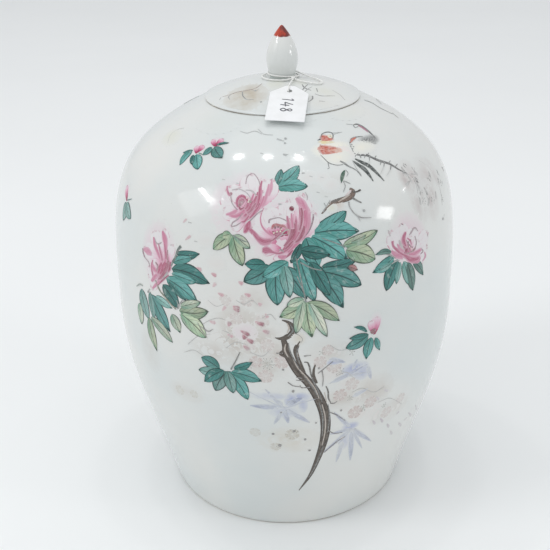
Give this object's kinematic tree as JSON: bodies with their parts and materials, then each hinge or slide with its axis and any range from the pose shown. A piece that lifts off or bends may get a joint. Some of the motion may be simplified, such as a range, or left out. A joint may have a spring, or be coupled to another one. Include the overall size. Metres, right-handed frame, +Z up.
{
  "type": "ginger jar",
  "caption": "Round-shouldered covered porcelain jar with a flush domed lid, a bud knob, enamel flowers and birds, and a paper ticket on a string.",
  "frame": {"origin": "centre of the foot ring, on the surface that the jar stands on", "axes": "+Z up along the jar's axis to the knob; -Y towards the front, where the main flowers are painted and the ticket lies; +X to the right seen from the front"},
  "size_m": [0.224, 0.224, 0.3156],
  "materials": {
    "porcelain": "glossy clear glaze over white porcelain, painted with overglaze enamels",
    "knob_glaze": "glossy glaze with an iron-red tip",
    "thread": "soft twisted white cotton",
    "card": "smooth white card"
  },
  "bodies": {
    "jar": {"lower_section": "porcelain", "upper_section": "porcelain"},
    "lid": {"lid": "porcelain", "knob": "knob_glaze"},
    "string": {"tag_string": "thread", "string_knot": "thread"},
    "tag": {"tag_lead": "thread", "tag_card": "card"}
  },
  "joints": [
    {"name": "lid_lift", "type": "slide", "parent": "jar", "child": "lid", "axis": [0, 0, 1], "range_m": [0, 0.12]},
    {"name": "string_turn", "type": "hinge", "parent": "lid", "child": "string", "pos_m": [0, 0, 0.2836], "axis": [0, 0, 1], "continuous": true},
    {"name": "tag_lift", "type": "hinge", "parent": "string", "child": "tag", "pos_m": [0.0065, -0.0095, 0.2851], "axis": [-1, 0, 0], "range_deg": [0, 80]}
  ]
}
